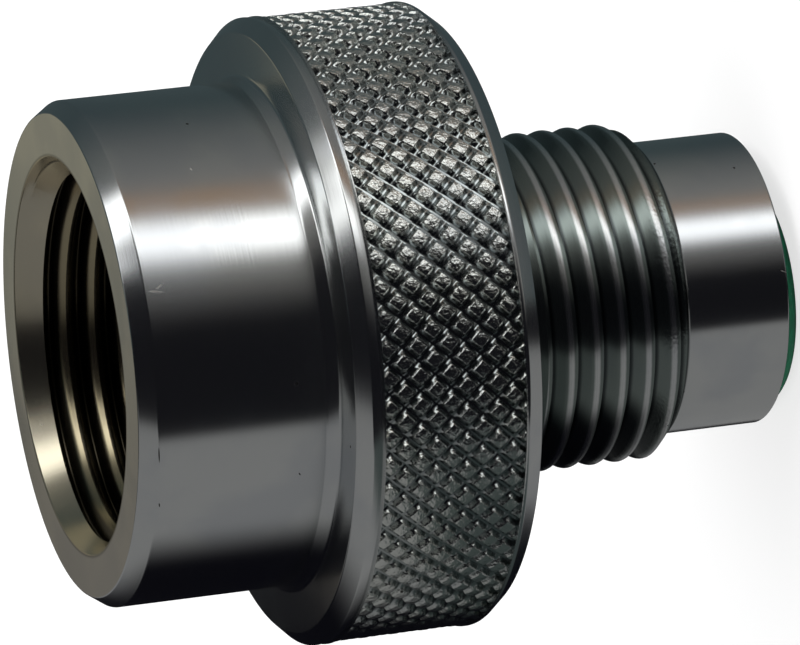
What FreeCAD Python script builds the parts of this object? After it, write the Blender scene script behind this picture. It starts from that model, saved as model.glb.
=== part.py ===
import FreeCAD, Part
import Sketcher
import math
import os

# A turned and plated gas fitting, one piece of brass: a female M26x2 socket in a plain
# barrel, a knurled grip collar, a male G5/8 thread and a plain nose. A soft sealing ring
# lies in the end face of the nose. Both threads are left as plain turned diameters.
# Millimetres. The axis is Z, and the part stands on its sealing ring, socket upwards.

doc = FreeCAD.newDocument("threaded_adapter")

SIZES = [
    # Sealing ring and its groove in the end face of the nose
    ("seal_cord", 2.62),
    ("seal_stand", 1.5),
    ("seal_side_clearance", 0.04),
    ("seal_groove_width", 4.7),
    ("seal_groove_lip", 0.9),
    # Plain nose
    ("nose_diameter", 19.9),
    ("nose_length", 7.2),
    ("nose_edge", 0.1),
    # Male thread
    ("male_major", 22.91),
    ("male_length", 14.0),
    ("male_lead_diameter", 20.3),
    ("male_relief_width", 2.2),
    ("male_relief_diameter", 20.1),
    # Grip collar
    ("collar_diameter", 42.3),
    ("collar_length", 12.8),
    ("collar_front_edge", 0.92),
    ("collar_back_edge_radial", 0.95),
    ("collar_back_edge_axial", 1.15),
    # Diamond knurl on the collar, between two plain lands
    ("knurl_front_land", 0.85),
    ("knurl_back_land", 0.3),
    ("knurl_depth", 0.6),
    ("knurl_below_land", 0.02),
    ("knurl_teeth", 66),
    ("knurl_rows", 9),
    # Barrel round the socket
    ("barrel_diameter", 33.9),
    ("barrel_length", 13.4),
    ("barrel_edge_radial", 0.79),
    ("barrel_edge_axial", 1.14),
    ("barrel_flare_radial", 0.31),
    ("barrel_flare_axial", 1.2),
    # Socket
    ("socket_mouth_diameter", 26.6),
    ("socket_lead_depth", 2.37),
    ("socket_minor", 23.83),
    ("socket_thread_length", 13.5),
    ("socket_relief_width", 2.4),
    ("socket_relief_diameter", 26.6),
    ("socket_seat_diameter", 21.4),
    ("socket_seat_length", 5.0),
    # Gas way from the socket through the nose
    ("gas_bore", 6.0),
    ("gas_bore_edge", 0.3),
]

sheet = doc.addObject("Spreadsheet::Sheet", "sizes")
for row, (alias, value) in enumerate(SIZES, start=1):
    sheet.set(f"A{row}", alias)
    sheet.set(f"B{row}", str(value))
    sheet.setAlias(f"B{row}", alias)
doc.recompute()

# Heights above the underside of the sealing ring
NOSE_END = "sizes.seal_stand"
NOSE_ROOT = f"{NOSE_END} + sizes.nose_length"
COLLAR_BACK = f"{NOSE_ROOT} + sizes.male_length"
COLLAR_FRONT = f"{COLLAR_BACK} + sizes.collar_length"
MOUTH = f"{COLLAR_FRONT} + sizes.barrel_length"
SOCKET_RELIEF = f"{MOUTH} - sizes.socket_thread_length"
SEAT_BORE_TOP = f"{SOCKET_RELIEF} - sizes.socket_relief_width"
SEAT = f"{SEAT_BORE_TOP} - sizes.socket_seat_length"

# Radii of the seal groove's two walls
GROOVE_OUTER = "sizes.nose_diameter / 2 - sizes.seal_groove_lip"
GROOVE_INNER = f"{GROOVE_OUTER} - sizes.seal_groove_width"


def number(expression):
    """The present value of an expression of the sizes."""
    return float(sheet.evalExpression(expression))


def sketch_on(body, role, name):
    """An empty sketch on one of the body's own origin planes."""
    plane = next(f for f in body.Origin.OriginFeatures if f.Role == role)
    sketch = body.newObject("Sketcher::SketchObject", name)
    sketch.AttachmentSupport = [(plane, "")]
    sketch.MapMode = "FlatFace"
    return sketch


def half_section(body, name, corners):
    """A closed outline beside the Z axis. A corner is its name, radius and height,
    and one with no radius lies on the axis."""
    sketch = sketch_on(body, "XZ_Plane", name)
    places = [FreeCAD.Vector(number(radius) if radius else 0.0, number(height), 0)
              for _, radius, height in corners]
    lines = [sketch.addGeometry(Part.LineSegment(start, places[(i + 1) % len(places)]), False)
             for i, start in enumerate(places)]
    for i, line in enumerate(lines):
        following = lines[(i + 1) % len(lines)]
        sketch.addConstraint(Sketcher.Constraint("Coincident", line, 2, following, 1))
    for line, place, (corner, radius, height) in zip(lines, places, corners):
        if radius:
            across = Sketcher.Constraint("DistanceX", -1, 1, line, 1, place.x)
            sketch.renameConstraint(sketch.addConstraint(across), f"{corner}_radius")
            sketch.setExpression(f"Constraints.{corner}_radius", radius)
        else:
            sketch.addConstraint(Sketcher.Constraint("PointOnObject", line, 1, -2))
        up = Sketcher.Constraint("DistanceY", -1, 1, line, 1, place.y)
        sketch.renameConstraint(sketch.addConstraint(up), f"{corner}_height")
        sketch.setExpression(f"Constraints.{corner}_height", height)
    return sketch


def turn(body, kind, name, sketch):
    """A full turn of the sketch about Z: Revolution adds it and Groove cuts it."""
    feature = body.newObject(f"PartDesign::{kind}", name)
    feature.Profile = sketch
    feature.ReferenceAxis = (sketch, ["V_Axis"])
    feature.Angle = 360.0
    return feature


def round_edges(feature, radius, height):
    """The names of the feature's circular edges with this radius and height."""
    found = []
    for count, edge in enumerate(feature.Shape.Edges, start=1):
        if not isinstance(edge.Curve, Part.Circle):
            continue
        if abs(edge.Curve.Radius - radius) < 1e-4 and abs(edge.Curve.Center.z - height) < 1e-4:
            found.append(f"Edge{count}")
    return found


# The turned blank: the outside first, then the socket, the seal groove and the gas way
blank = doc.addObject("PartDesign::Body", "turned_blank")
blank.Label = "turned_blank"

outside = half_section(blank, "outside_outline", [
    ("nose_centre", None, NOSE_END),
    ("nose_face", "sizes.nose_diameter / 2 - sizes.nose_edge", NOSE_END),
    ("nose_side", "sizes.nose_diameter / 2", f"{NOSE_END} + sizes.nose_edge"),
    ("nose_root", "sizes.nose_diameter / 2", NOSE_ROOT),
    ("lead_start", "sizes.male_lead_diameter / 2", NOSE_ROOT),
    ("lead_end", "sizes.male_major / 2",
     f"{NOSE_ROOT} + (sizes.male_major - sizes.male_lead_diameter) / 2"),
    ("relief_start", "sizes.male_major / 2",
     f"{COLLAR_BACK} - sizes.male_relief_width - (sizes.male_major - sizes.male_relief_diameter) / 2"),
    ("relief_floor", "sizes.male_relief_diameter / 2", f"{COLLAR_BACK} - sizes.male_relief_width"),
    ("relief_root", "sizes.male_relief_diameter / 2", COLLAR_BACK),
    ("back_face", "sizes.collar_diameter / 2 - sizes.collar_back_edge_radial", COLLAR_BACK),
    ("back_edge", "sizes.collar_diameter / 2", f"{COLLAR_BACK} + sizes.collar_back_edge_axial"),
    ("front_edge", "sizes.collar_diameter / 2", f"{COLLAR_FRONT} - sizes.collar_front_edge"),
    ("front_face", "sizes.collar_diameter / 2 - sizes.collar_front_edge", COLLAR_FRONT),
    ("barrel_root", "sizes.barrel_diameter / 2 + sizes.barrel_flare_radial", COLLAR_FRONT),
    ("barrel_flare", "sizes.barrel_diameter / 2", f"{COLLAR_FRONT} + sizes.barrel_flare_axial"),
    ("barrel_edge", "sizes.barrel_diameter / 2", f"{MOUTH} - sizes.barrel_edge_axial"),
    ("mouth_face", "sizes.barrel_diameter / 2 - sizes.barrel_edge_radial", MOUTH),
    ("mouth_centre", None, MOUTH),
])
turn(blank, "Revolution", "outside", outside)

socket = half_section(blank, "socket_outline", [
    ("mouth_centre", None, MOUTH),
    ("mouth", "sizes.socket_mouth_diameter / 2", MOUTH),
    ("thread_start", "sizes.socket_minor / 2", f"{MOUTH} - sizes.socket_lead_depth"),
    ("thread_end", "sizes.socket_minor / 2", SOCKET_RELIEF),
    ("relief_top", "sizes.socket_relief_diameter / 2", SOCKET_RELIEF),
    ("relief_foot", "sizes.socket_relief_diameter / 2", SEAT_BORE_TOP),
    ("seat_bore_top", "sizes.socket_seat_diameter / 2", SEAT_BORE_TOP),
    ("seat", "sizes.socket_seat_diameter / 2", SEAT),
    ("seat_centre", None, SEAT),
])
turn(blank, "Groove", "socket", socket)

seal_groove = half_section(blank, "seal_groove_outline", [
    ("inner_mouth", GROOVE_INNER, NOSE_END),
    ("outer_mouth", GROOVE_OUTER, NOSE_END),
    ("outer_floor", GROOVE_OUTER, "sizes.seal_cord"),
    ("inner_floor", GROOVE_INNER, "sizes.seal_cord"),
])
turn(blank, "Groove", "seal_groove", seal_groove)

gas_circle = sketch_on(blank, "XY_Plane", "gas_way_outline")
gas_circle.addGeometry(Part.Circle(FreeCAD.Vector(), FreeCAD.Vector(0, 0, 1), number("sizes.gas_bore / 2")))
gas_circle.addConstraint(Sketcher.Constraint("Coincident", 0, 3, -1, 1))
gas_circle.renameConstraint(gas_circle.addConstraint(
    Sketcher.Constraint("Diameter", 0, number("sizes.gas_bore"))), "bore")
gas_circle.setExpression("Constraints.bore", "sizes.gas_bore")
gas_way = blank.newObject("PartDesign::Pocket", "gas_way")
gas_way.Profile = gas_circle
gas_way.Type = "ThroughAll"
gas_way.Reversed = True
doc.recompute()

bore_edges = (round_edges(gas_way, number("sizes.gas_bore / 2"), number(NOSE_END))
              + round_edges(gas_way, number("sizes.gas_bore / 2"), number(SEAT)))
gas_way_edges = blank.newObject("PartDesign::Chamfer", "gas_way_edges")
gas_way_edges.Base = (gas_way, bore_edges)
gas_way_edges.setExpression("Size", "sizes.gas_bore_edge")
blank.Tip = gas_way_edges

# The knurl: two crossing sets of grooves leave rows of four-sided points, each row set
# half a point round from the next. The crests end just below the plain lands.
knurl_foot = number(f"{COLLAR_BACK} + sizes.collar_back_edge_axial + sizes.knurl_back_land")
knurl_head = number(f"{COLLAR_FRONT} - sizes.collar_front_edge - sizes.knurl_front_land")
knurl_crest = number("sizes.collar_diameter / 2 - sizes.knurl_below_land")
knurl_root = number("sizes.collar_diameter / 2 - sizes.knurl_depth")
knurl_columns = 2 * round(sheet.knurl_teeth)
knurl_rows = round(sheet.knurl_rows)


def knurl_corner(column, row):
    """A corner of the knurl's grid: a crest where column and row add up even, else a root."""
    radius = knurl_crest if (column + row) % 2 == 0 else knurl_root
    turned_by = 2 * math.pi * column / knurl_columns
    height = knurl_foot + (knurl_head - knurl_foot) * row / knurl_rows
    return FreeCAD.Vector(radius * math.cos(turned_by), radius * math.sin(turned_by), height)


def flat_face(corners):
    return Part.Face(Part.makePolygon([*corners, corners[0]]))


def knurled_drum():
    """A solid drum with the knurl on its side. Each cell of the grid is folded along its two roots."""
    faces = []
    for row in range(knurl_rows):
        for column in range(knurl_columns):
            near, far = knurl_corner(column, row), knurl_corner(column + 1, row + 1)
            beside, above = knurl_corner(column + 1, row), knurl_corner(column, row + 1)
            if (column + row) % 2 == 0:
                faces += [flat_face([near, beside, above]), flat_face([far, above, beside])]
            else:
                faces += [flat_face([beside, far, near]), flat_face([above, near, far])]
    for row in (0, knurl_rows):
        faces.append(flat_face([knurl_corner(column, row) for column in range(knurl_columns)]))
    return Part.Solid(Part.Shell(faces))


knurl_band = Part.makeCylinder(number("sizes.collar_diameter / 2 + sizes.knurl_depth"),
                               knurl_head - knurl_foot, FreeCAD.Vector(0, 0, knurl_foot))
knurl_waste = doc.addObject("Part::Feature", "knurl_waste")
knurl_waste.Shape = knurl_band.cut(knurled_drum())

adapter = doc.addObject("Part::Cut", "adapter_body")
adapter.Label = "adapter_body"
adapter.Base = blank
adapter.Tool = knurl_waste

# Sealing ring: as wide as the middle of its groove, it touches the floor and lies to one
# side, against the two walls
ring = doc.addObject("Part::Torus", "sealing_ring")
ring.Label = "sealing_ring"
ring.setExpression("Radius1", f"{GROOVE_OUTER} - sizes.seal_groove_width / 2")
ring.setExpression("Radius2", "sizes.seal_cord / 2")
ring.setExpression("Placement.Base.x",
                   "sizes.seal_side_clearance - (sizes.seal_groove_width - sizes.seal_cord) / 2")
ring.setExpression("Placement.Base.z", "sizes.seal_cord / 2")

doc.recompute()

failed = [item.Name for item in doc.Objects if "Invalid" in item.State or "Error" in item.State]
if failed:
    raise RuntimeError(f"these objects failed: {failed}")

os.makedirs("parts", exist_ok=True)
for piece in (adapter, ring):
    shape = piece.Shape
    if shape.isNull() or not shape.isValid() or len(shape.Solids) != 1:
        raise RuntimeError(f"{piece.Label} is not one valid solid")
    shape.exportStep(f"parts/{piece.Label}.step")
    print(piece.Label, round(shape.Volume, 2), shape.BoundBox)
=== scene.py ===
import math

import bmesh
import bpy
from mathutils import Matrix


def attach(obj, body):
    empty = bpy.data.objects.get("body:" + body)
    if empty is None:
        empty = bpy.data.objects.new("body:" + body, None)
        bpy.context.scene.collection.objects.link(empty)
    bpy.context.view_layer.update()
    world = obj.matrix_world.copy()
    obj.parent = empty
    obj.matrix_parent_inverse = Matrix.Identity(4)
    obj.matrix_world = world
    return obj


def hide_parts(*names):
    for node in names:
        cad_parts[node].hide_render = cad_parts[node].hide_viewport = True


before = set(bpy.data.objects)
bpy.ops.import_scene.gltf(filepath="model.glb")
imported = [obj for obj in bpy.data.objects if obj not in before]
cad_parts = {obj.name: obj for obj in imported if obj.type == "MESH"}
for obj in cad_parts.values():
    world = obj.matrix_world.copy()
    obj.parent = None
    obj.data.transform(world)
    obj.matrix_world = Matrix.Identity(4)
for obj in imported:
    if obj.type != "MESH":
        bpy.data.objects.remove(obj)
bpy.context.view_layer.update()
MM = 0.001

# The camera stands where the photograph was taken from: on the -Y side, 17 degrees above the
# fitting, and rolled over until the socket lies at the left of the picture.
FOCAL_PIXELS, PHOTO_PIXELS = 7500, 800  # the focal length, and the width of the photograph
camera_data = bpy.data.cameras.new("camera")
camera_data.sensor_fit = "HORIZONTAL"
camera_data.sensor_width = 36.0
camera_data.lens = camera_data.sensor_width * FOCAL_PIXELS / PHOTO_PIXELS
camera_data.clip_end = 20.0
camera = bpy.data.objects.new("camera", camera_data)
bpy.context.collection.objects.link(camera)
camera.matrix_world = Matrix((
    (-0.116635, 0.993175, 0.000714, 0.0),
    (-0.295005, -0.033958, -0.954892, -0.481609),
    (-0.948350, -0.111585, 0.296952, 0.175545),
    (0.0, 0.0, 0.0, 1.0),
))
bpy.context.scene.camera = camera
bpy.context.scene.view_settings.view_transform = "Standard"

# The fitting's body is one bar of brass, turned all over and bored through. Its half-section is
# drawn as an outline, its corners are broken, and it is spun about Z. The land in front of the
# knurl is turned with a slight taper, and the barrel flares a little at its root.
SPIN_STEPS = 264
WELD = 0.0005  # points closer than this are one, in mm
LARGE_ROUNDING = 0.15  # in mm, and a corner rounded more than this takes twice the steps
HALF_SECTION = [  # radius, height and how far back the corner is rounded, in mm
    (9.95, 8.7, 0.1), (10.15, 8.7, 0.0), (11.455, 10.005, 0.0), (11.455, 19.095, 0.0),
    (10.05, 20.5, 0.1), (10.05, 22.7, 0.1), (20.2, 22.7, 0.08), (21.15, 23.85, 0.08),
    (21.15, 33.75, 0.0), (20.95, 33.76, 0.0), (21.15, 34.58, 0.06), (20.23, 35.5, 0.08),
    (17.3, 35.5, 0.2), (16.95, 36.35, 0.1), (16.95, 47.76, 0.08),
    (16.16, 48.9, 0.08), (13.3, 48.9, 0.08), (11.917, 46.53, 0.0), (11.917, 35.4, 0.0),
    (13.3, 35.4, 0.1), (13.3, 33.0, 0.1), (10.7, 33.0, 0.1), (10.7, 28.0, 0.1),
    (3.3, 28.0, 0.05), (3.0, 27.7, 0.05), (3.0, 1.8, 0.05), (3.3, 1.5, 0.05),
    (4.35, 1.5, 0.05), (4.35, 2.62, 0.05), (9.05, 2.62, 0.05), (9.05, 1.5, 0.05),
    (9.85, 1.5, 0.03), (9.95, 1.6, 0.03),
]


def start_piece(name):
    """Names the newly added primitive, which is the active object."""
    piece = bpy.context.object
    piece.name = piece.data.name = name
    return piece


def outline(name, points):
    """A closed outline in the XZ plane through points that are each a radius and a height in mm.
    It is left in edit mode."""
    bpy.ops.object.select_all(action="DESELECT")
    bpy.ops.mesh.primitive_plane_add(size=MM, location=(0, 0, 0))
    piece = start_piece(name)
    bpy.ops.object.mode_set(mode="EDIT")
    bpy.ops.mesh.merge(type="CENTER")
    bpy.ops.transform.translate(value=(points[0][0] * MM, 0, points[0][1] * MM))
    for (r0, z0), (r1, z1) in zip(points, points[1:]):
        step = {"value": ((r1 - r0) * MM, 0, (z1 - z0) * MM)}
        bpy.ops.mesh.extrude_region_move(TRANSFORM_OT_translate=step)
    bpy.ops.mesh.select_all(action="SELECT")
    bpy.ops.mesh.edge_face_add()
    bpy.ops.mesh.delete(type="ONLY_FACE")
    return piece


def spin_about(x, steps):
    """Spins the outline in edit mode once round the upright line at x, and welds it to its start."""
    bpy.ops.mesh.select_all(action="SELECT")
    bpy.ops.mesh.spin(steps=steps, angle=math.tau, center=(x, 0, 0), axis=(0, 0, 1))
    bpy.ops.mesh.select_all(action="SELECT")
    bpy.ops.mesh.remove_doubles(threshold=WELD * MM)
    bpy.ops.mesh.normals_make_consistent(inside=False)
    bpy.ops.object.mode_set(mode="OBJECT")


body = outline("adapter_visual", [(r, z) for r, z, _ in HALF_SECTION])
for rounding in sorted({c for _, _, c in HALF_SECTION if c}):
    bpy.ops.mesh.select_all(action="DESELECT")
    section = bmesh.from_edit_mesh(body.data)
    for r, z, c in HALF_SECTION:
        if c == rounding:
            corner = min(section.verts, key=lambda v: math.hypot(v.co.x - r * MM, v.co.z - z * MM))
            corner.select = True
    bmesh.update_edit_mesh(body.data)
    segments = 4 if rounding > LARGE_ROUNDING else 2
    bpy.ops.mesh.bevel(offset=rounding * MM, segments=segments, affect="VERTICES")
spin_about(0, SPIN_STEPS)

# Both threads are cut into the turned bar by a single-point tool that follows a helix: G5/8 of
# 14 turns an inch outside, M26x2 inside. The tool leaves rounded crests and roots, and runs out
# into the turned groove at the end of each thread.
STEPS_A_TURN = 96


def thread_cutter(name, points, pitch, start, turns):
    """The closed helical solid that a thread tool sweeps: its outline is in mm about its own
    middle height, starts at the given height and rises by the pitch in each turn."""
    piece = outline(name, [(r, z + start) for r, z in points])
    bpy.ops.object.mode_set(mode="OBJECT")
    helix = piece.modifiers.new("helix", "SCREW")
    helix.axis = "Z"
    helix.angle = math.tau * turns
    helix.screw_offset = pitch * MM * turns
    helix.steps = helix.render_steps = round(STEPS_A_TURN * turns)
    bpy.ops.object.modifier_apply(modifier="helix")
    bpy.ops.object.mode_set(mode="EDIT")
    bpy.ops.mesh.select_all(action="SELECT")
    bpy.ops.mesh.fill_holes(sides=0)
    bpy.ops.mesh.select_all(action="SELECT")
    bpy.ops.mesh.normals_make_consistent(inside=False)
    bpy.ops.object.mode_set(mode="OBJECT")
    return piece


def both_sides(half_outline):
    """The outline of a groove from the half above its middle, which starts at the groove's floor."""
    return [(r, -z) for r, z in reversed(half_outline)] + [p for p in half_outline if p[1] > 0]


male_cutter = thread_cutter("male_cutter", both_sides([
    (10.294, 0.0), (10.321, 0.046), (11.209, 0.508), (11.319, 0.589), (11.398, 0.696),
    (11.441, 0.813), (11.449, 0.868), (11.75, 0.868),
]), pitch=1.814, start=6.3, turns=8.1)
female_cutter = thread_cutter("female_cutter", [
    (11.4, -1.04), (11.9, -1.04), (11.93, -1.0), (12.08, -0.76), (12.27, -0.52), (12.93, -0.16),
    (13.0, -0.09), (13.02, 0.0), (13.0, 0.1), (12.93, 0.165), (11.98, 0.71), (11.9, 0.76), (11.4, 0.76),
], pitch=2.0, start=34.27, turns=8.2)

# The collar's grip is a diamond knurl, rolled in by two crossing wheels. The one whose grooves
# climb to the right has bitten deeper, and its grooves run on with flat floors. The other's are
# narrower and shallower, and the teeth's tops are slightly domed. Both ends keep a plain land.
TEETH_ROUND, TOOTH_ROWS = 66, 6
KNURL_FOOT, KNURL_HEAD = 24.1, 33.73
GROOVE_RADIUS = 20.6
TOOTH_HEIGHT = 2.11
TOOTH_WIDTH = math.tau * GROOVE_RADIUS / TEETH_ROUND
FIRST_TOOTH_BELOW_FOOT = 1.355
CUTTER_REACH = 1.035  # the cutter's outer wall, as a share of its inner one
TOOTH_FACES = 7  # along a side of the tooth
TOOTH_ACROSS = [(0.45, 0.0), (0.27, 0.42), (0.1, 0.46)]  # share of the side, and height in mm
TOOTH_ALONG = [(0.5, 0.16), (0.46, 0.16), (0.27, 0.92), (0.12, 1.0)]  # and share of the height

bpy.ops.object.select_all(action="DESELECT")
bpy.ops.mesh.primitive_grid_add(x_subdivisions=TOOTH_FACES, y_subdivisions=TOOTH_FACES, size=MM,
                                location=(0, 0, 0))
knurl_cutter = start_piece("knurl_cutter")
bpy.ops.object.mode_set(mode="EDIT")
bpy.ops.mesh.select_mode(type="VERT")


def select_rows(axis, share):
    """Selects the two rows of the tooth's points that lie this share of its side from its middle."""
    bpy.ops.mesh.select_all(action="DESELECT")
    tooth = bmesh.from_edit_mesh(knurl_cutter.data)
    for point in tooth.verts:
        point.select = abs(abs(point.co[axis]) - share * MM) < 0.01 * MM
    bmesh.update_edit_mesh(knurl_cutter.data)


grid_rows = [faces / TOOTH_FACES for faces in (3.5, 2.5, 1.5, 0.5)]
for row, (share, height) in zip(grid_rows[1:], TOOTH_ACROSS):
    select_rows(1, row)
    bpy.ops.transform.resize(value=(1, share / row, 1), center_override=(0, 0, 0))
    bpy.ops.transform.translate(value=(0, 0, height * MM))
for row, (share, height_left) in zip(grid_rows, TOOTH_ALONG):
    select_rows(0, row)
    bpy.ops.transform.resize(value=(share / row, 1, height_left), center_override=(0, 0, 0))
bpy.ops.object.mode_set(mode="OBJECT")
knurl_cutter.rotation_euler.z = math.pi / 4
bpy.ops.object.transform_apply(location=True, rotation=True, scale=True)
knurl_cutter.rotation_euler.x = math.pi / 2
knurl_cutter.scale = (TOOTH_WIDTH / math.sqrt(2), TOOTH_HEIGHT / math.sqrt(2), 1)
knurl_cutter.location.z = (KNURL_FOOT - FIRST_TOOTH_BELOW_FOOT) * MM
bpy.ops.object.transform_apply(location=True, rotation=True, scale=True)
bpy.ops.object.mode_set(mode="EDIT")
bpy.ops.mesh.select_all(action="SELECT")
bpy.ops.mesh.duplicate_move(
    TRANSFORM_OT_translate={"value": (TOOTH_WIDTH / 2 * MM, 0, TOOTH_HEIGHT / 2 * MM)})
bpy.ops.object.mode_set(mode="OBJECT")
for name, count, step in (("column", TOOTH_ROWS, (0, 0, TOOTH_HEIGHT * MM)),
                          ("round", TEETH_ROUND, (TOOTH_WIDTH * MM, 0, 0))):
    copies = knurl_cutter.modifiers.new(name, "ARRAY")
    copies.count = count
    copies.use_relative_offset = False
    copies.use_constant_offset = True
    copies.constant_offset_displace = step
    bpy.ops.object.modifier_apply(modifier=name)
rolled = knurl_cutter.modifiers.new("rolled", "SIMPLE_DEFORM")
rolled.deform_method = "BEND"
rolled.deform_axis = "Z"
rolled.angle = math.tau * (TEETH_ROUND + 0.5) / TEETH_ROUND
bpy.ops.object.modifier_apply(modifier="rolled")
knurl_cutter.location.y = -GROOVE_RADIUS * MM
bpy.ops.object.transform_apply(location=True, rotation=True, scale=True)
bpy.ops.object.mode_set(mode="EDIT")
bpy.ops.mesh.select_all(action="SELECT")
bpy.ops.mesh.remove_doubles(threshold=0.01 * MM)
for height, side in ((KNURL_FOOT, -1), (KNURL_HEAD, 1)):
    bpy.ops.mesh.select_all(action="SELECT")
    bpy.ops.mesh.bisect(plane_co=(0, 0, height * MM), plane_no=(0, 0, side), clear_outer=True,
                        threshold=0.0001 * MM)
bpy.ops.mesh.select_mode(type="EDGE")
bpy.ops.mesh.select_all(action="DESELECT")
bpy.ops.mesh.select_non_manifold()
bpy.ops.mesh.extrude_region_move()
bpy.ops.transform.resize(value=(CUTTER_REACH, CUTTER_REACH, 1), center_override=(0, 0, 0))
bpy.ops.mesh.bridge_edge_loops()
bpy.ops.mesh.select_all(action="SELECT")
bpy.ops.mesh.normals_make_consistent(inside=False)
bpy.ops.object.mode_set(mode="OBJECT")

bpy.ops.object.select_all(action="DESELECT")
for cutter in (male_cutter, female_cutter, knurl_cutter):
    cutter.select_set(True)
bpy.context.view_layer.objects.active = knurl_cutter
bpy.ops.object.join()
bpy.ops.object.select_all(action="DESELECT")
body.select_set(True)
bpy.context.view_layer.objects.active = body
cut = body.modifiers.new("cut", "BOOLEAN")
cut.operation = "DIFFERENCE"
cut.solver = "EXACT"
cut.object = knurl_cutter
bpy.ops.object.modifier_apply(modifier="cut")
bpy.data.objects.remove(knurl_cutter)
bpy.ops.object.shade_smooth_by_angle(angle=math.radians(40))
shading = body.modifiers.new("shading", "WEIGHTED_NORMAL")
shading.keep_sharp = True
shading.weight = 60
bpy.ops.object.modifier_apply(modifier="shading")

# The bar is nickel plated after turning. The fine marks of the tool run round it, so that light
# spreads along the axis, and the plating is a little dull. It is thin in the socket, where it takes
# the warm tone of the brass. Painted shade darkens the thread's roots and flanks, the knurl's
# groove floors, and the socket deep down and in its grooves.
CLEAN_NICKEL = (0.64, 0.655, 0.65)
# painted shade for the socket deep down and for its grooves
SOCKET_PAINTED_SHADE = (0.06, 0.052, 0.036)
MOUTH_SLOPE, MOUTH_START = 0.5835, -15.233  # the countersink's radius is slope * height + start, in mm
plating = bpy.data.materials.new("plated_brass_visual")
plating.use_nodes = True
nodes, links = plating.node_tree.nodes, plating.node_tree.links
shader = nodes["Principled BSDF"]
shader.inputs["Metallic"].default_value = 1.0
shader.inputs["Anisotropic"].default_value = 0.6
shader.inputs["Anisotropic Rotation"].default_value = 0.25
around = nodes.new("ShaderNodeTangent")
around.direction_type = "RADIAL"
around.axis = "Z"
links.new(around.outputs["Tangent"], shader.inputs["Tangent"])
place = nodes.new("ShaderNodeTexCoord")
parts = nodes.new("ShaderNodeSeparateXYZ")
links.new(place.outputs["Object"], parts.inputs["Vector"])


def fade(value, start, stop):
    """Rises from 0 at start to 1 at stop, both in mm."""
    step = nodes.new("ShaderNodeMapRange")
    step.interpolation_type = "SMOOTHSTEP"
    step.inputs["From Min"].default_value = start * MM
    step.inputs["From Max"].default_value = stop * MM
    links.new(value, step.inputs["Value"])
    return step.outputs["Result"]


def mixed(factor, first, second, way="MIX"):
    """A mix of two colours, each a socket or a plain colour."""
    mix = nodes.new("ShaderNodeMix")
    mix.data_type = "RGBA"
    mix.blend_type = way
    links.new(factor, mix.inputs["Factor"])
    for socket, colour in ((mix.inputs[6], first), (mix.inputs[7], second)):
        if isinstance(colour, tuple):
            socket.default_value = (*colour, 1.0)
        else:
            links.new(colour, socket)
    return mix.outputs[2]


def maths(operation, *values):
    """One step of arithmetic on sockets and plain numbers."""
    result = nodes.new("ShaderNodeMath")
    result.operation = operation
    for socket, value in zip(result.inputs, values):
        if isinstance(value, float):
            socket.default_value = value
        else:
            links.new(value, socket)
    return result.outputs[0]


def times(first, second):
    return maths("MULTIPLY", first, second)


def larger(first, second):
    return maths("MAXIMUM", first, second)


def blended(factor, first, second):
    """A mix of two numbers, each a socket or a plain number."""
    mix = nodes.new("ShaderNodeMix")
    links.new(factor, mix.inputs[0])
    for socket, number in ((mix.inputs[2], first), (mix.inputs[3], second)):
        if isinstance(number, float):
            socket.default_value = number
        else:
            links.new(number, socket)
    return mix.outputs[0]


def noise(vector, scale, detail):
    texture = nodes.new("ShaderNodeTexNoise")
    texture.inputs["Scale"].default_value = scale
    texture.inputs["Detail"].default_value = detail
    links.new(vector, texture.inputs["Vector"])
    return texture.outputs["Fac"]


def clipped(value, start, stop):
    """Rises from 0 at start to 1 at stop."""
    return fade(value, start / MM, stop / MM)


up = parts.outputs["Z"]
out = maths("SQRT", maths("MULTIPLY_ADD", parts.outputs["Y"], parts.outputs["Y"],
                          times(parts.outputs["X"], parts.outputs["X"])))
in_thread = times(fade(up, 8.7, 8.9), fade(up, 20.6, 20.4))
# Painted shade: the thread's roots and flanks are darker than its crests, which keep the clean nickel.
thread_tone_and_shade = mixed(fade(out, 10.3, 10.6), (0.06, 0.07, 0.07), (0.21, 0.245, 0.23))
thread_tone_and_shade = mixed(fade(out, 11.36, 11.44), thread_tone_and_shade, CLEAN_NICKEL)
in_knurl = times(times(fade(up, 24.0, 24.2), fade(up, 33.8, 33.6)), fade(out, 20.2, 20.4))
# Painted shade: the knurl's groove floors are darker than the tops of its teeth.
knurl_tone_and_shade = mixed(fade(out, 20.65, 20.95), (0.38, 0.41, 0.405), (0.68, 0.7, 0.665))
in_bore = times(fade(out, 13.6, 13.25), fade(up, 26.0, 27.0))
# Painted shade deep in the socket, where only the inner crests' edges keep a dimmer warm tone. The
# thread's grooves behind the countersink are painted shade as well.
crest_edge = times(fade(out, 11.92, 11.95), fade(out, 12.35, 12.15))
deep_shade_and_crests = mixed(crest_edge, SOCKET_PAINTED_SHADE, (0.42, 0.365, 0.24))
cone = maths("MULTIPLY_ADD", up, MOUTH_SLOPE, MOUTH_START * MM)
in_groove = fade(maths("SUBTRACT", out, cone), 0.03, 0.1)
mouth_tone_and_shade = mixed(in_groove, (0.62, 0.57, 0.44), SOCKET_PAINTED_SHADE)
bore_tone_and_shade = mixed(fade(up, 46.8, 46.2), mouth_tone_and_shade, deep_shade_and_crests)
tone = mixed(in_knurl, mixed(in_thread, CLEAN_NICKEL, thread_tone_and_shade), knurl_tone_and_shade)
tone = mixed(in_bore, tone, bore_tone_and_shade)

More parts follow.
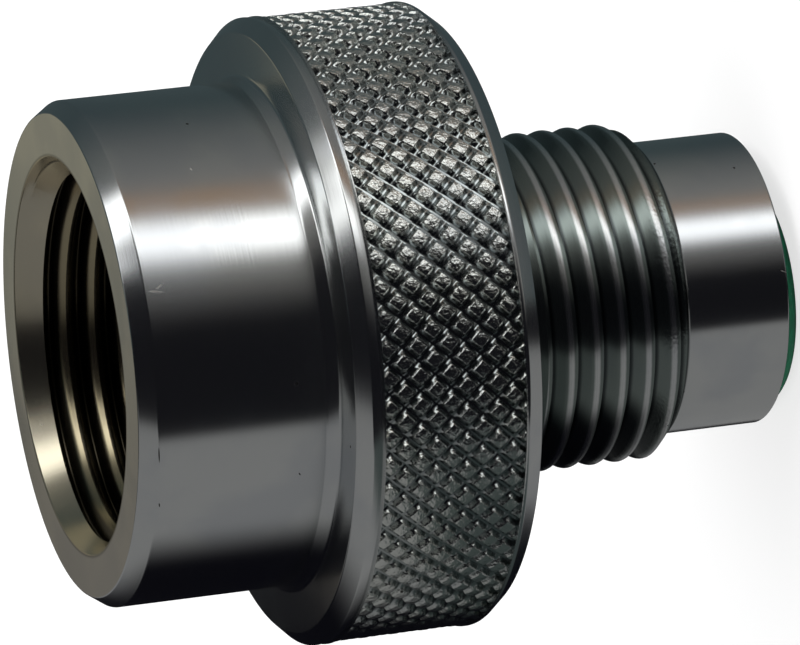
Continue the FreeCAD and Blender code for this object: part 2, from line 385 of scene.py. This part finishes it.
# Handling has left its marks on the plating: cloudy patches, fine dark pinholes, and the few nicks
# and scratches that the photo shows. The knurl and the thread's last turn are rough with burrs.
NICKS = [  # middle, turn about the radius, turn about Z in degrees, half size in mm, dark or light
    ((3.45, -16.59, 47.0), 8, 11.8, (0.06, 0.3, 0.55), "light"),
    ((3.75, -16.53, 46.75), -28, 13.0, (0.05, 0.3, 0.3), "light"),
    ((0.04, -9.95, 1.75), 25, 0.2, (0.05, 0.3, 0.25), "light"),
    ((11.12, -12.79, 42.65), 70, 41.0, (0.05, 0.3, 0.14), "light"),
    ((-7.03, -15.42, 47.75), 88, -24.5, (0.05, 0.3, 0.62), "dark"),
    ((-9.36, -14.13, 38.15), 60, -33.5, (0.05, 0.3, 0.14), "dark"),
    ((-10.26, -13.49, 47.6), 80, -37.2, (0.05, 0.3, 0.2), "dark"),
]
plating_nodes, plating_links = nodes, links
nick_group = bpy.data.node_groups.new("nick", "ShaderNodeTree")
for name, kind in (("Place", "NodeSocketVector"), ("Middle", "NodeSocketVector"),
                   ("Turn", "NodeSocketVector"), ("Half size", "NodeSocketVector"),
                   ("Nicks so far", "NodeSocketFloat")):
    nick_group.interface.new_socket(name, in_out="INPUT", socket_type=kind)
nick_group.interface.new_socket("Nicks", in_out="OUTPUT", socket_type="NodeSocketFloat")
nodes, links = nick_group.nodes, nick_group.links
given = nodes.new("NodeGroupInput")
about = nodes.new("ShaderNodeMapping")
about.vector_type = "TEXTURE"
for name, socket in (("Place", "Vector"), ("Middle", "Location"), ("Turn", "Rotation"),
                     ("Half size", "Scale")):
    links.new(given.outputs[name], about.inputs[socket])
away = nodes.new("ShaderNodeVectorMath")
away.operation = "LENGTH"
links.new(about.outputs[0], away.inputs[0])
inside = nodes.new("ShaderNodeMapRange")
inside.inputs["From Min"].default_value = 1.0
inside.inputs["From Max"].default_value = 0.6
links.new(away.outputs["Value"], inside.inputs["Value"])
links.new(larger(inside.outputs["Result"], given.outputs["Nicks so far"]),
          nodes.new("NodeGroupOutput").inputs["Nicks"])
nodes, links = plating_nodes, plating_links
nicks = {"light": None, "dark": None}
for middle, slant, azimuth, half_size, look in NICKS:
    nick = nodes.new("ShaderNodeGroup")
    nick.node_tree = nick_group
    links.new(place.outputs["Object"], nick.inputs["Place"])
    nick.inputs["Middle"].default_value = [v * MM for v in middle]
    nick.inputs["Turn"].default_value = (0, math.radians(slant), math.radians(azimuth))
    nick.inputs["Half size"].default_value = [v * MM for v in half_size]
    if nicks[look]:
        links.new(nicks[look], nick.inputs["Nicks so far"])
    nicks[look] = nick.outputs["Nicks"]
pinholes = nodes.new("ShaderNodeTexVoronoi")
pinholes.inputs["Scale"].default_value = 260.0
links.new(place.outputs["Object"], pinholes.inputs["Vector"])
dark_spots = larger(nicks["dark"], clipped(pinholes.outputs["Distance"], 0.035, 0.015))
cloudy = clipped(noise(place.outputs["Object"], 140.0, 4.0), 0.42, 0.62)
tone = mixed(cloudy, tone, (0.9, 0.91, 0.94), "MULTIPLY")
tone = mixed(dark_spots, tone, (0.12, 0.11, 0.1), "MULTIPLY")
links.new(mixed(nicks["light"], tone, (0.8, 0.79, 0.76)), shader.inputs["Base Color"])
gloss = blended(cloudy, 0.185, 0.225)
gloss = blended(in_thread, gloss, 0.26)
gloss = blended(in_bore, gloss, 0.26)
links.new(blended(larger(nicks["light"], dark_spots), gloss, 0.6), shader.inputs["Roughness"])


def unit_vector(vector):
    """The same direction, with a length of 1."""
    unit = nodes.new("ShaderNodeVectorMath")
    unit.operation = "NORMALIZE"
    links.new(vector, unit.inputs[0])
    return unit.outputs[0]


# The tool's marks are fine rings of bump. In the photo the thread mirrors the window much as the
# shaft does, so the normals of its flanks are drawn outwards. Burrs are a coarser bump.
BUMP_HEIGHT = 0.1  # in mm
flat_place = nodes.new("ShaderNodeCombineXYZ")
links.new(parts.outputs["X"], flat_place.inputs["X"])
links.new(parts.outputs["Y"], flat_place.inputs["Y"])
facing = nodes.new("ShaderNodeMix")
facing.data_type = "VECTOR"
links.new(blended(in_thread, 0.0, 0.82), facing.inputs[0])
links.new(place.outputs["Normal"], facing.inputs[4])
links.new(unit_vector(flat_place.outputs[0]), facing.inputs[5])
track = nodes.new("ShaderNodeCombineXYZ")
links.new(out, track.inputs["X"])
links.new(up, track.inputs["Z"])
marks = nodes.new("ShaderNodeBump")
marks.inputs["Strength"].default_value = 0.025
marks.inputs["Distance"].default_value = BUMP_HEIGHT * MM
links.new(noise(track.outputs[0], 7000.0, 2.0), marks.inputs["Height"])
links.new(unit_vector(facing.outputs[1]), marks.inputs["Normal"])
burred = larger(times(in_knurl, fade(out, 20.7, 20.95)),
                blended(times(in_thread, fade(up, 11.2, 10.4)), 0.0, 0.25))
burrs = nodes.new("ShaderNodeBump")
burrs.inputs["Distance"].default_value = BUMP_HEIGHT * MM
links.new(times(burred, noise(place.outputs["Object"], 3400.0, 3.0)), burrs.inputs["Height"])
links.new(marks.outputs["Normal"], burrs.inputs["Normal"])
links.new(burrs.outputs["Normal"], shader.inputs["Normal"])
body.data.materials.clear()
body.data.materials.append(plating)
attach(body, "root")
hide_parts("adapter_body")

# The sealing ring is a moulded cord of green rubber in the end of the nose. It has slipped to
# one side in its groove, and stands out a little past the face. The rubber is patchy and dusty.
SEAL_CORD, SEAL_MIDDLE, SEAL_ASIDE = 2.62, 13.4, -1.0  # in mm, the middle line as a diameter
bpy.ops.object.select_all(action="DESELECT")
bpy.ops.mesh.primitive_circle_add(
    vertices=32, radius=SEAL_CORD / 2 * MM, rotation=(math.pi / 2, 0, 0),
    location=((SEAL_MIDDLE / 2 + SEAL_ASIDE) * MM, 0, SEAL_CORD / 2 * MM))
bpy.ops.object.transform_apply(location=True, rotation=True, scale=True)
seal = start_piece("seal_visual")
bpy.ops.object.mode_set(mode="EDIT")
spin_about(SEAL_ASIDE * MM, 128)
bpy.ops.object.shade_smooth()
rubber = bpy.data.materials.new("green_rubber")
rubber.use_nodes = True
shader = rubber.node_tree.nodes["Principled BSDF"]
nodes, links = rubber.node_tree.nodes, rubber.node_tree.links
place = nodes.new("ShaderNodeTexCoord")
patchy = clipped(noise(place.outputs["Object"], 600.0, 4.0), 0.4, 0.65)
dusty = clipped(noise(place.outputs["Object"], 5000.0, 2.0), 0.66, 0.74)
green = mixed(patchy, (0.0, 0.14, 0.062), (0.002, 0.105, 0.05))
links.new(mixed(dusty, green, (0.1, 0.2, 0.14)), shader.inputs["Base Color"])
links.new(blended(dusty, blended(patchy, 0.62, 0.5), 0.8), shader.inputs["Roughness"])
grain = nodes.new("ShaderNodeBump")
grain.inputs["Strength"].default_value = 0.3
grain.inputs["Distance"].default_value = 0.02 * MM
links.new(noise(place.outputs["Object"], 2600.0, 3.0), grain.inputs["Height"])
links.new(grain.outputs["Normal"], shader.inputs["Normal"])
seal.data.materials.append(rubber)
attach(seal, "root")
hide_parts("sealing_ring")

# The floor is a plain sheet of matt white paper that keeps the fitting's shadow. Part of its
# white is a glow that only shows, so that it lights the fitting less than it would.
GLOWING_PART = 0.7
bpy.ops.object.select_all(action="DESELECT")
bpy.ops.mesh.primitive_plane_add(size=6.0, location=(0, 0, 0))
floor = start_piece("floor")
white = bpy.data.materials.new("white_sheet")
white.use_nodes = True
nodes, links = white.node_tree.nodes, white.node_tree.links
shader = nodes["Principled BSDF"]
shader.inputs["Base Color"].default_value = (0.92, 0.92, 0.92, 1.0)
shader.inputs["Roughness"].default_value = 0.9


def where_seen():
    """1 for what is seen by the camera, in a mirror or through glass, and 0 for the rest."""
    ray = nodes.new("ShaderNodeLightPath")
    return larger(larger(ray.outputs["Is Camera Ray"], ray.outputs["Is Glossy Ray"]),
                  ray.outputs["Is Transmission Ray"])


glow = nodes.new("ShaderNodeEmission")
blend = nodes.new("ShaderNodeMixShader")
links.new(times(where_seen(), GLOWING_PART), blend.inputs["Fac"])
links.new(shader.outputs[0], blend.inputs[1])
links.new(glow.outputs[0], blend.inputs[2])
links.new(blend.outputs[0], nodes["Material Output"].inputs["Surface"])
floor.data.materials.append(white)
floor.visible_glossy = False

# The world is a plain white studio wherever it is seen, by itself or in a mirror. It lights what
# is matt at half that level.
world = bpy.data.worlds.new("studio")
bpy.context.scene.world = world
world.use_nodes = True
nodes, links = world.node_tree.nodes, world.node_tree.links
fill = nodes["Background"]
fill.inputs["Color"].default_value = (1.0, 1.0, 1.0, 1.0)
fill.inputs["Strength"].default_value = 0.5
backdrop = nodes.new("ShaderNodeBackground")
blend = nodes.new("ShaderNodeMixShader")
links.new(where_seen(), blend.inputs["Fac"])
links.new(fill.outputs[0], blend.inputs[1])
links.new(backdrop.outputs[0], blend.inputs[2])
links.new(blend.outputs[0], nodes["World Output"].inputs["Surface"])

# A light tent stands round the fitting, and the bright metal mirrors it. It glows, and only mirrors
# show it, so its panels are painted reflections. It is dark, apart from the bright panels, and each
# panel is a range of azimuths and elevations with soft edges. A panel that leans has its own
# azimuths at one elevation, and other azimuths above and below it.
PANELS = [  # from and to azimuth with the softness of each edge, low and high, softness, lean, tone
    ("side", 20, 16, 240, 5, -90, 90, 5, 0.45, (0.235, 0.23, 0.22)),
    ("far_side", 99, 40, 240, 5, -90, 90, 5, 0.0, (0.05, 0.07, 0.075)),
    ("warm_edge", 57, 3, 68, 4, -40, 5, 10, 0.5, (0.32, 0.205, 0.13)),
    ("window", 35.5, 6, 52, 5, -34, 49, 4, 0.54, (2.2, 2.2, 2.2)),
    ("window_top", 58, 5, 74, 8, 57, 74, 5, 0.0, (2.0, 2.0, 2.0)),
    ("window_end", 84, 5, 100, 5, 49, 56, 4, 0.0, (0.6, 0.6, 0.58)),
    ("window_side", 60, 4, 80, 5, 39, 57, 3, 0.0, (2.6, 2.6, 2.6)),
    ("window_brow", 46, 4, 70, 5, 51.5, 57, 2, 0.0, (2.6, 2.6, 2.6)),
]
PANEL_EDGES = ("From", "From softness", "To", "To softness", "Low", "High", "End softness", "Lean")
UNLEANED_AT = -17.0  # the elevation at which a leaning panel has its own azimuths
ROOM_DARK = (0.009, 0.009, 0.011)
TENT_RADIUS, TENT_MIDDLE = 0.4, (0, 0, 0.03)
bpy.ops.object.select_all(action="DESELECT")
bpy.ops.mesh.primitive_uv_sphere_add(segments=64, ring_count=32, radius=TENT_RADIUS,
                                     location=TENT_MIDDLE)
bpy.ops.object.transform_apply(location=True, rotation=True, scale=True)
tent = start_piece("light_tent")


def show_in_mirrors_only(piece):
    piece.visible_camera = piece.visible_diffuse = False
    piece.visible_shadow = piece.visible_transmission = False


def glowing(name):
    """A material that only glows, with the socket of its colour."""
    material = bpy.data.materials.new(name)
    material.use_nodes = True
    tree = material.node_tree
    tree.nodes.remove(tree.nodes["Principled BSDF"])
    glow = tree.nodes.new("ShaderNodeEmission")
    tree.links.new(glow.outputs[0], tree.nodes["Material Output"].inputs["Surface"])
    return material, glow.inputs["Color"]


show_in_mirrors_only(tent)

panel_group = bpy.data.node_groups.new("tent_panel", "ShaderNodeTree")
for name, kind in (("Azimuth", "NodeSocketFloat"), ("Elevation", "NodeSocketFloat"),
                   ("Tone so far", "NodeSocketColor"), ("Tone", "NodeSocketColor"),
                   *((edge, "NodeSocketFloat") for edge in PANEL_EDGES)):
    panel_group.interface.new_socket(name, in_out="INPUT", socket_type=kind)
panel_group.interface.new_socket("Tone", in_out="OUTPUT", socket_type="NodeSocketColor")
nodes, links = panel_group.nodes, panel_group.links
given = nodes.new("NodeGroupInput").outputs


def soft_step(value, edge, softness, rising):
    """A mask that rises or falls over twice the softness about the edge."""
    before, after = maths("SUBTRACT", edge, softness), maths("ADD", edge, softness)
    step = nodes.new("ShaderNodeMapRange")
    step.interpolation_type = "SMOOTHSTEP"
    links.new(value, step.inputs["Value"])
    links.new(before if rising else after, step.inputs["From Min"])
    links.new(after if rising else before, step.inputs["From Max"])
    return step.outputs["Result"]


lean = times(maths("ADD", given["Elevation"], -UNLEANED_AT), given["Lean"])
leaning = maths("SUBTRACT", given["Azimuth"], lean)
across = times(soft_step(leaning, given["From"], given["From softness"], True),
               soft_step(leaning, given["To"], given["To softness"], False))
upright = times(soft_step(given["Elevation"], given["Low"], given["End softness"], True),
                soft_step(given["Elevation"], given["High"], given["End softness"], False))
links.new(mixed(times(across, upright), given["Tone so far"], given["Tone"]),
          nodes.new("NodeGroupOutput").inputs["Tone"])

# The tent's sheet glows, and only mirrors show it: painted reflections of studio light.
tent_glow, tent_glow_colour = glowing("tent_glow_sheet")
nodes, links = tent_glow.node_tree.nodes, tent_glow.node_tree.links
place = nodes.new("ShaderNodeTexCoord")
centred = nodes.new("ShaderNodeVectorMath")
centred.operation = "SUBTRACT"
centred.inputs[1].default_value = TENT_MIDDLE
links.new(place.outputs["Object"], centred.inputs[0])
parts = nodes.new("ShaderNodeSeparateXYZ")
links.new(unit_vector(centred.outputs[0]), parts.inputs["Vector"])
to_camera = times(parts.outputs["Y"], -1.0)
azimuth = maths("DEGREES", maths("ARCTAN2", parts.outputs["X"], to_camera))
elevation = maths("DEGREES", maths("ARCSINE", parts.outputs["Z"]))
tone = None
for name, *edges, colour in PANELS:
    panel = nodes.new("ShaderNodeGroup")
    panel.node_tree = panel_group
    panel.label = name
    links.new(azimuth, panel.inputs["Azimuth"])
    links.new(elevation, panel.inputs["Elevation"])
    if tone:
        links.new(tone, panel.inputs["Tone so far"])
    else:
        panel.inputs["Tone so far"].default_value = (*ROOM_DARK, 1.0)
    panel.inputs["Tone"].default_value = (*colour, 1.0)
    for edge, value in zip(PANEL_EDGES, edges):
        panel.inputs[edge].default_value = value
    tone = panel.outputs["Tone"]
links.new(tone, tent_glow_colour)
tent.data.materials.append(tent_glow)

# A warm card close behind the socket glows, and its end face mirrors it: a painted reflection. It
# is a sheet on edge, a little brighter to the right, and only mirrors show it.
bpy.ops.object.select_all(action="DESELECT")
bpy.ops.mesh.primitive_plane_add(size=1.0, location=(0, 0.04, 0.065), rotation=(math.pi / 2, 0, 0))
bpy.ops.transform.resize(value=(0.07, 1, 0.023))
bpy.ops.object.transform_apply(location=True, rotation=True, scale=True)
card = start_piece("warm_card")
show_in_mirrors_only(card)
card_glow, card_glow_colour = glowing("warm_glow_card")
nodes, links = card_glow.node_tree.nodes, card_glow.node_tree.links
place = nodes.new("ShaderNodeTexCoord")
parts = nodes.new("ShaderNodeSeparateXYZ")
links.new(place.outputs["Object"], parts.inputs["Vector"])
# The painted reflection is a little brighter to the right.
links.new(mixed(fade(parts.outputs["X"], -18, 18), (0.18, 0.165, 0.14), (0.27, 0.255, 0.195)),
          card_glow_colour)
card.data.materials.append(card_glow)

# A grey card stands beside the collar, and the lower sides of the barrel and the nose mirror it.
# It glows, and only mirrors show it: a painted reflection. It carries a nearly black painted shadow
# behind the fitting and painted shade in a band beside the knurl. It is darker above the fitting,
# and as dark as the room past its front edge.
CARD_X = -21.6
CARD_FRONT, FRONT_SOFTNESS = -32.5, 2.5
CARD_SHADOW = (0.004, 0.004, 0.006)
bpy.ops.object.select_all(action="DESELECT")
bpy.ops.mesh.primitive_plane_add(size=1.0, location=(CARD_X * MM, -0.005, 0.02),
                                 rotation=(0, math.pi / 2, 0))
bpy.ops.transform.resize(value=(1, 0.07, 0.3))
bpy.ops.object.transform_apply(location=True, rotation=True, scale=True)
card = start_piece("grey_card")
show_in_mirrors_only(card)
card_glow, card_glow_colour = glowing("grey_glow_card")
nodes, links = card_glow.node_tree.nodes, card_glow.node_tree.links
place = nodes.new("ShaderNodeTexCoord")
parts = nodes.new("ShaderNodeSeparateXYZ")
links.new(place.outputs["Object"], parts.inputs["Vector"])
back, up = parts.outputs["Y"], parts.outputs["Z"]
# Painted shadow of the fitting behind it, and a painted shade band beside the knurl.
behind = times(fade(back, -12.0, -3.5), times(fade(up, 4.0, 12.0), fade(up, 52.5, 47.5)))
shadowed = mixed(behind, (0.235, 0.235, 0.235), CARD_SHADOW)
shade_banded = mixed(times(fade(up, 14.0, 19.0), fade(up, 30.0, 26.5)), shadowed, (0.055, 0.068, 0.066))
shadowed = mixed(behind, shade_banded, CARD_SHADOW)
dimmed = mixed(fade(up, 60.0, 150.0), shadowed, (0.03, 0.03, 0.03))
past_front = fade(back, CARD_FRONT - FRONT_SOFTNESS, CARD_FRONT + FRONT_SOFTNESS)
links.new(mixed(past_front, ROOM_DARK, dimmed), card_glow_colour)
card.data.materials.append(card_glow)

# Three soft lamps light what is matt: the rubber and the floor. Mirrors don't show them, because
# the tent is what the metal mirrors.
for name, place_at, power, size in (("lamp_key", (0.75, -0.4, 0.9), 14.0, 0.7),
                                    ("lamp_fill", (-0.9, -0.5, 0.8), 9.0, 0.9),
                                    ("lamp_top", (0.0, 0.3, 1.2), 9.0, 1.0)):
    lamp_data = bpy.data.lights.new(name, "AREA")
    lamp_data.energy = power
    lamp_data.size = size
    lamp = bpy.data.objects.new(name, lamp_data)
    bpy.context.collection.objects.link(lamp)
    lamp.location = place_at
    lamp.rotation_euler = lamp.location.to_track_quat("Z", "Y").to_euler()
    lamp.visible_glossy = False
